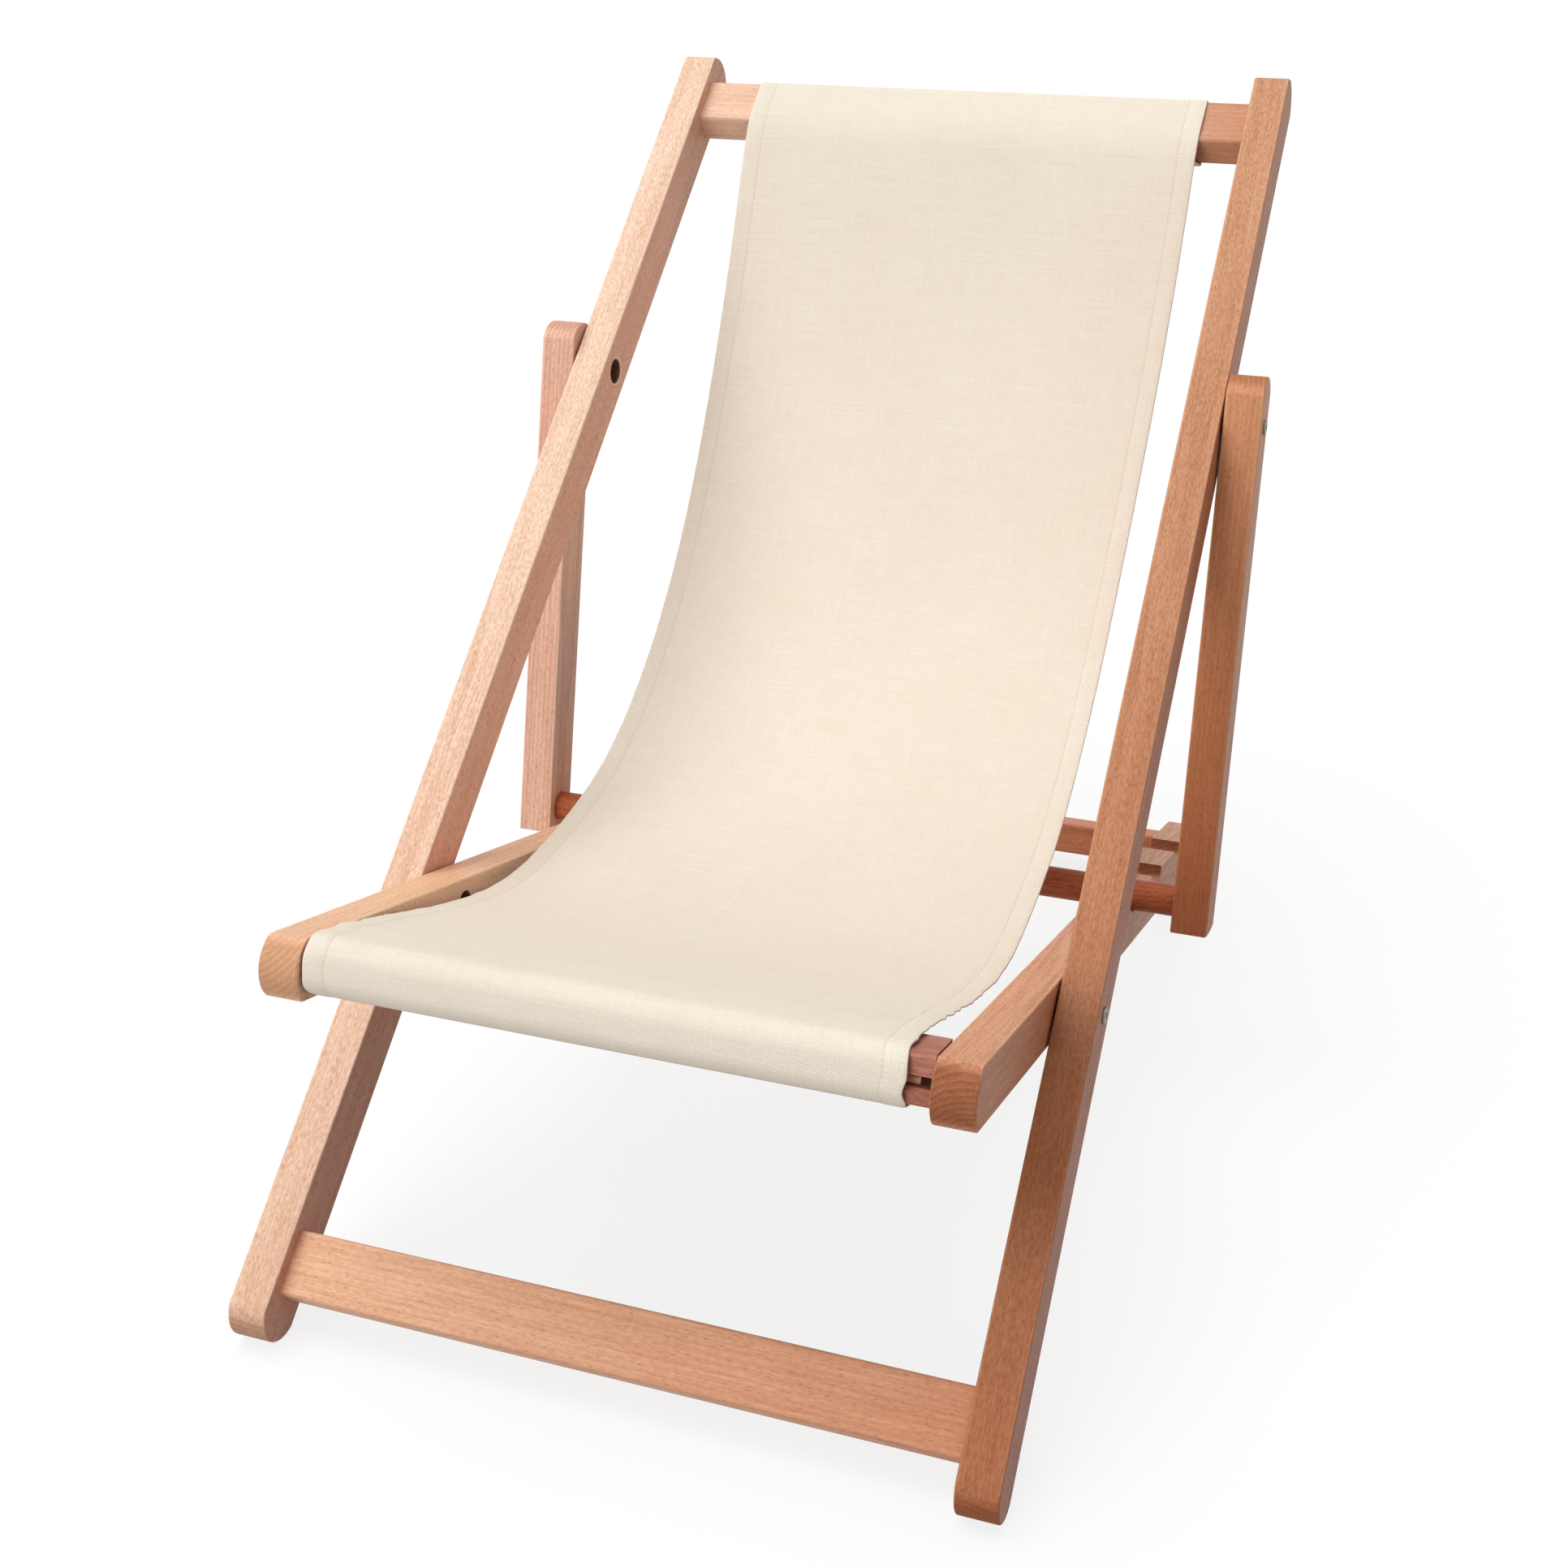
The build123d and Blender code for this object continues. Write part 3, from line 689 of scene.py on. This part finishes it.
class Sling:
    # The cloth's middle surface, by length along the path and share across
    def __init__(self, setup):
        self.setup = setup
        self.line = evened(slingPath(setup), setup["step"])
        self.lengths = [0.0]
        for first, second in zip(self.line, self.line[1:]):
            self.lengths.append(self.lengths[-1] + (second - first).length)
        self.long = self.lengths[-1]
        (topLow, topHigh), (topBack, topFront) = setup["topBar"]
        self.overTop = setup["tunnel"] + (topHigh - topLow) + (topFront - topBack)
        self.overFront = self.long - setup["frontTurn"]
        frontLayer = [row for row, length in enumerate(self.lengths) if length > self.overTop]
        nearest = min(frontLayer, key=lambda row: (self.line[row] - self.line[0]).length)
        self.seam = self.lengths[nearest] - setup["seamUp"]
        pivot = joints["seat_fold"]["pos_m"]
        self.pivotY, self.pivotZ = pivot[1], pivot[2]
        self.cosBack, self.sinBack = cos(radians(setup["backAngle"])), sin(radians(setup["backAngle"]))

    def edges(self, length):
        share = min(max((length - self.overTop) / (self.overFront - self.overTop), 0.0), 1.0)
        waist = self.setup["waist"] * sin(pi * share) ** 2
        ripple = self.setup["ripple"]
        grown = easeInOut((share - ripple["start"]) / ripple["grow"])
        sides = []
        for index, (top, front) in enumerate(zip(self.setup["edgesTop"], self.setup["edgesFront"])):
            wave = noise.noise((length * ripple["waves"], 3.7 * index, 0.5)) * grown
            inward = 1 if index == 0 else -1
            sides.append(top + (front - top) * share + inward * waist + ripple["depth"] * wave)
        return sides

    def section(self, index):
        before, after = self.line[max(index - 1, 0)], self.line[min(index + 1, len(self.line) - 1)]
        return self.line[index], -square(after - before)

    def place(self, index, across, off):
        # across is the share of the width, off is along the outward side of the cloth
        point, outward = self.section(index)
        left, right = self.edges(self.lengths[index])
        spot = point + outward * off
        y = self.pivotY + spot.x * self.cosBack - spot.y * self.sinBack
        z = self.pivotZ + spot.x * self.sinBack + spot.y * self.cosBack
        return Vector((left + (right - left) * across, y, z))

    def fromSide(self, across):
        return min(across, 1 - across) * self.setup["flat"][0]

    def swell(self, index, across):
        # Soft unevenness of hung canvas, and puckers beside the side hems
        length = self.lengths[index]
        topHeld, frontHeld = self.setup["held"]
        held = easeInOut((length - self.overTop) / topHeld) * easeInOut((self.overFront - length) / frontHeld)
        broad, pucker = self.setup["swell"], self.setup["pucker"]
        broadWave = noise.noise((across * broad["across"], length * broad["along"], 1.9))
        puckerWave = noise.noise((across * pucker["across"], length * pucker["along"], 7.3))
        beside = 1 - easeInOut((self.fromSide(across) - pucker["start"]) / pucker["fade"])
        return broad["depth"] * broadWave * held + pucker["depth"] * puckerWave * held * beside

    def thickness(self, across):
        side, step, rim = self.fromSide(across), self.setup["hemStep"], self.setup["rim"]
        hem = 1 - easeInOut((side - self.setup["hemWidth"] + step / 2) / step)
        full = rim["left"] + (1 - rim["left"]) * easeInOut(side / rim["width"])
        return (self.setup["thick"] + self.setup["hemRise"] * hem) * full

    def groove(self, across):
        groove = self.setup["groove"]
        away = abs(self.fromSide(across) - self.setup["hemWidth"] + groove["inset"]) / groove["reach"]
        return groove["depth"] * (1 - easeInOut(away))


def sharesAcross(setup):
    # Close columns at the side hems, even ones between
    width = setup["flat"][0]
    shares = [side / width for side in setup["hemColumns"]]
    inner = shares[-1]
    count = setup["columns"]
    middle = [inner + (1 - 2 * inner) * part / count for part in range(1, count)]
    return shares + middle + [1 - share for share in reversed(shares)]


def meshObject(name, points, faces, material):
    mesh = bpy.data.meshes.new(name)
    mesh.from_pydata(points, [], faces)
    mesh.materials.append(material)
    mesh.polygons.foreach_set("use_smooth", [True] * len(mesh.polygons))
    piece = bpy.data.objects.new(name, mesh)
    scene.collection.objects.link(piece)
    return piece


def layCut(piece, flat):
    # Each point's place on the cloth as cut, in metres, for the weave
    layer = piece.data.uv_layers.new(name="cut")
    for loop in piece.data.loops:
        layer.data[loop.index].uv = flat[loop.vertex_index]


def makeSling(sling, material):
    setup = sling.setup
    shares = sharesAcross(setup)
    rows, wide = len(sling.line), len(shares)
    points, flat = [], []
    for face in (1, -1):  # outer side first
        for row in range(rows):
            length = sling.lengths[row]
            for across in shares:
                half = sling.thickness(across) / 2
                dent = face * sling.groove(across)
                points.append(sling.place(row, across, sling.swell(row, across) + face * half - dent))
                flat.append((across * setup["flat"][0], length))
    under = rows * wide
    faces = []
    for row in range(rows - 1):
        for column in range(wide - 1):
            corner = row * wide + column
            quad = (corner, corner + 1, corner + wide + 1, corner + wide)
            faces.append(quad)
            faces.append(tuple(under + index for index in reversed(quad)))
    for row in range(rows - 1):
        for column, flip in ((0, True), (wide - 1, False)):
            low, high = row * wide + column, (row + 1) * wide + column
            rim = (low, under + low, under + high, high)
            faces.append(tuple(reversed(rim)) if flip else rim)
    for column in range(wide - 1):
        for row, flip in ((0, False), (rows - 1, True)):
            low = row * wide + column
            rim = (low, under + low, under + low + 1, low + 1)
            faces.append(tuple(reversed(rim)) if flip else rim)
    piece = meshObject("canvas_sling", points, faces, material)
    layCut(piece, flat)
    return piece


stitchSetup = {
    "pitch": 0.0036,
    "long": 0.0026,
    "thick": 0.00032,
    "sides": 6,
    "girths": (0.3, 0.9, 1.0, 0.9, 0.3),
    "lifts": (-0.0004, 0.00005, 0.0002, 0.00005, -0.0004),  # off the cloth, both ends sunk in
    "hemFrom": 0.004,  # past the top bar
    "hemTo": 0.03,  # before the cloth's end
    "seamMargin": 0.006,  # share of the width
    "probe": 0.001,  # off the cloth, to tell its outward side
}


def makeStitches(sling, material, setup):
    # Short round-backed threads along the side hems and across the tunnel seam
    points, faces, flat = [], [], []
    width, ring, bands = sling.setup["flat"][0], setup["sides"], len(setup["lifts"]) - 1

    def rowAt(length):
        row = 0
        while row < len(sling.lengths) - 2 and sling.lengths[row + 1] < length:
            row += 1
        return row, (length - sling.lengths[row]) / (sling.lengths[row + 1] - sling.lengths[row])

    def onCloth(length, across, off):
        row, part = rowAt(length)
        lift = sling.thickness(across) / 2 - sling.groove(across) + off
        first = sling.place(row, across, sling.swell(row, across) + lift)
        second = sling.place(row + 1, across, sling.swell(row + 1, across) + lift)
        return first.lerp(second, part)

    def addStitch(spots, outward):
        base = len(points)
        run = (spots[-1] - spots[0]).normalized()
        side = run.cross(outward).normalized()
        rise = side.cross(run)
        for spot, size in zip(spots, setup["girths"]):
            for turn in range(ring):
                angle = 2 * pi * turn / ring
                points.append(spot + (side * cos(angle) + rise * sin(angle)) * setup["thick"] * size)
                flat.append((spot.x, spot.y))
        for band in range(bands):
            for turn in range(ring):
                low, after = base + band * ring, (turn + 1) % ring
                faces.append((low + turn, low + after, low + ring + after, low + ring + turn))
        faces.append(tuple(base + turn for turn in reversed(range(ring))))
        faces.append(tuple(base + bands * ring + turn for turn in range(ring)))

    def sew(length, across, lengthStep, acrossStep):
        spots = [onCloth(length + lengthStep * part, across + acrossStep * part, lift)
                 for part, lift in enumerate(setup["lifts"])]
        addStitch(spots, onCloth(length, across, setup["probe"]) - onCloth(length, across, 0))

    hemShare = sling.setup["hemWidth"] / width
    length = sling.overTop + setup["hemFrom"]
    while length < sling.long - setup["hemTo"]:
        for across in (hemShare, 1 - hemShare):
            sew(length, across, setup["long"] / bands, 0)
        length += setup["pitch"]
    across = setup["seamMargin"]
    while across < 1 - setup["seamMargin"]:
        sew(sling.seam, across, 0, setup["long"] / width / bands)
        across += setup["pitch"] / width
    piece = meshObject("sling_stitches", points, faces, material)
    layCut(piece, flat)
    return piece


cloth = Sling(slingSetup)
hemLine = slingSetup["hemWidth"]
sewnLines = (hemLine, slingSetup["flat"][0] - hemLine)  # across the cloth
canvas = canvasMaterial("naturalCanvas", canvasSetup, sewnLines)
thread = canvasMaterial("sewingThread", threadSetup)
slingPiece = makeSling(cloth, canvas)
stitchPiece = makeStitches(cloth, thread, stitchSetup)
print("sling made: cloth length", round(cloth.long, 4), "points", len(slingPiece.data.vertices))

# The cloth and its stitches are fixed where they were made, and the CAD sling is hidden
for piece in (slingPiece, stitchPiece):
    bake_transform(piece)
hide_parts("sling")
print("sling hung")


# Floor and light: a soft key from above, a soft key from the left front, room light with more from the left,
# white beyond
studioSetup = {
    "keys": {
        "topKey": {"source": (-0.3, 0.02, 0.95), "level": 0.48, "softness": 50.0},  # degrees
        "frontKey": {"source": (-0.4, -0.88, 0.26), "level": 0.36, "softness": 40.0},
    },
    "roomSides": (0.62, 0.40),  # left, right
    "floorSeen": 0.2,
    "floorLit": 0.38,
    "floorGlow": 0.81,
    "floorSize": 30,
    "floorDrop": 0.0005,
}


def seenRay(tree):
    # 1 where the camera, a mirror or glass looks at it
    path = tree.nodes.new("ShaderNodeLightPath")
    seen = calc(tree, "MAXIMUM", path.outputs["Is Camera Ray"], path.outputs["Is Glossy Ray"])
    return calc(tree, "MAXIMUM", seen, path.outputs["Is Transmission Ray"])


def lightStudio(setup):
    for name, key in setup["keys"].items():
        light = bpy.data.lights.new(name, "SUN")
        light.energy = key["level"] * pi
        light.angle = radians(key["softness"])
        lamp = bpy.data.objects.new(name, light)
        lamp.rotation_euler = Vector(key["source"]).to_track_quat("Z", "Y").to_euler()
        scene.collection.objects.link(lamp)

    room = bpy.data.worlds.new("studioRoom")
    room.use_nodes = True
    tree = room.node_tree
    back = tree.nodes["Background"]
    back.inputs["Color"].default_value = (1, 1, 1, 1)
    way = tree.nodes.new("ShaderNodeTexCoord")
    across = splitVector(tree, way.outputs["Generated"])[0]
    side = fade(tree, across, -1.0, 1.0, *setup["roomSides"])
    seen = seenRay(tree)
    unseen = calc(tree, "SUBTRACT", 1.0, seen)
    feed(tree, calc(tree, "MULTIPLY_ADD", side, unseen, seen), back.inputs["Strength"])
    scene.world = room


def layFloor(setup):
    size = setup["floorSize"]
    corners = [(-size, -size, 0), (size, -size, 0), (size, size, 0), (-size, size, 0)]
    material, tree, surface = newMaterial("paleFloor")
    floor = meshObject("studio_floor", corners, [(0, 1, 2, 3)], material)
    surface.inputs["Roughness"].default_value = 1.0
    surface.inputs["Specular IOR Level"].default_value = 0.0
    seen = seenRay(tree)
    lit, shown = setup["floorLit"], setup["floorSeen"]
    color = blendColor(tree, "MIX", seen, (lit, lit, lit, 1), (shown, shown, shown, 1))
    feed(tree, color, surface.inputs["Base Color"])
    surface.inputs["Emission Color"].default_value = (1, 1, 1, 1)
    feed(tree, calc(tree, "MULTIPLY", seen, setup["floorGlow"]), surface.inputs["Emission Strength"])
    floor.location.z = -setup["floorDrop"]


lightStudio(studioSetup)
layFloor(studioSetup)
print("studio lit")
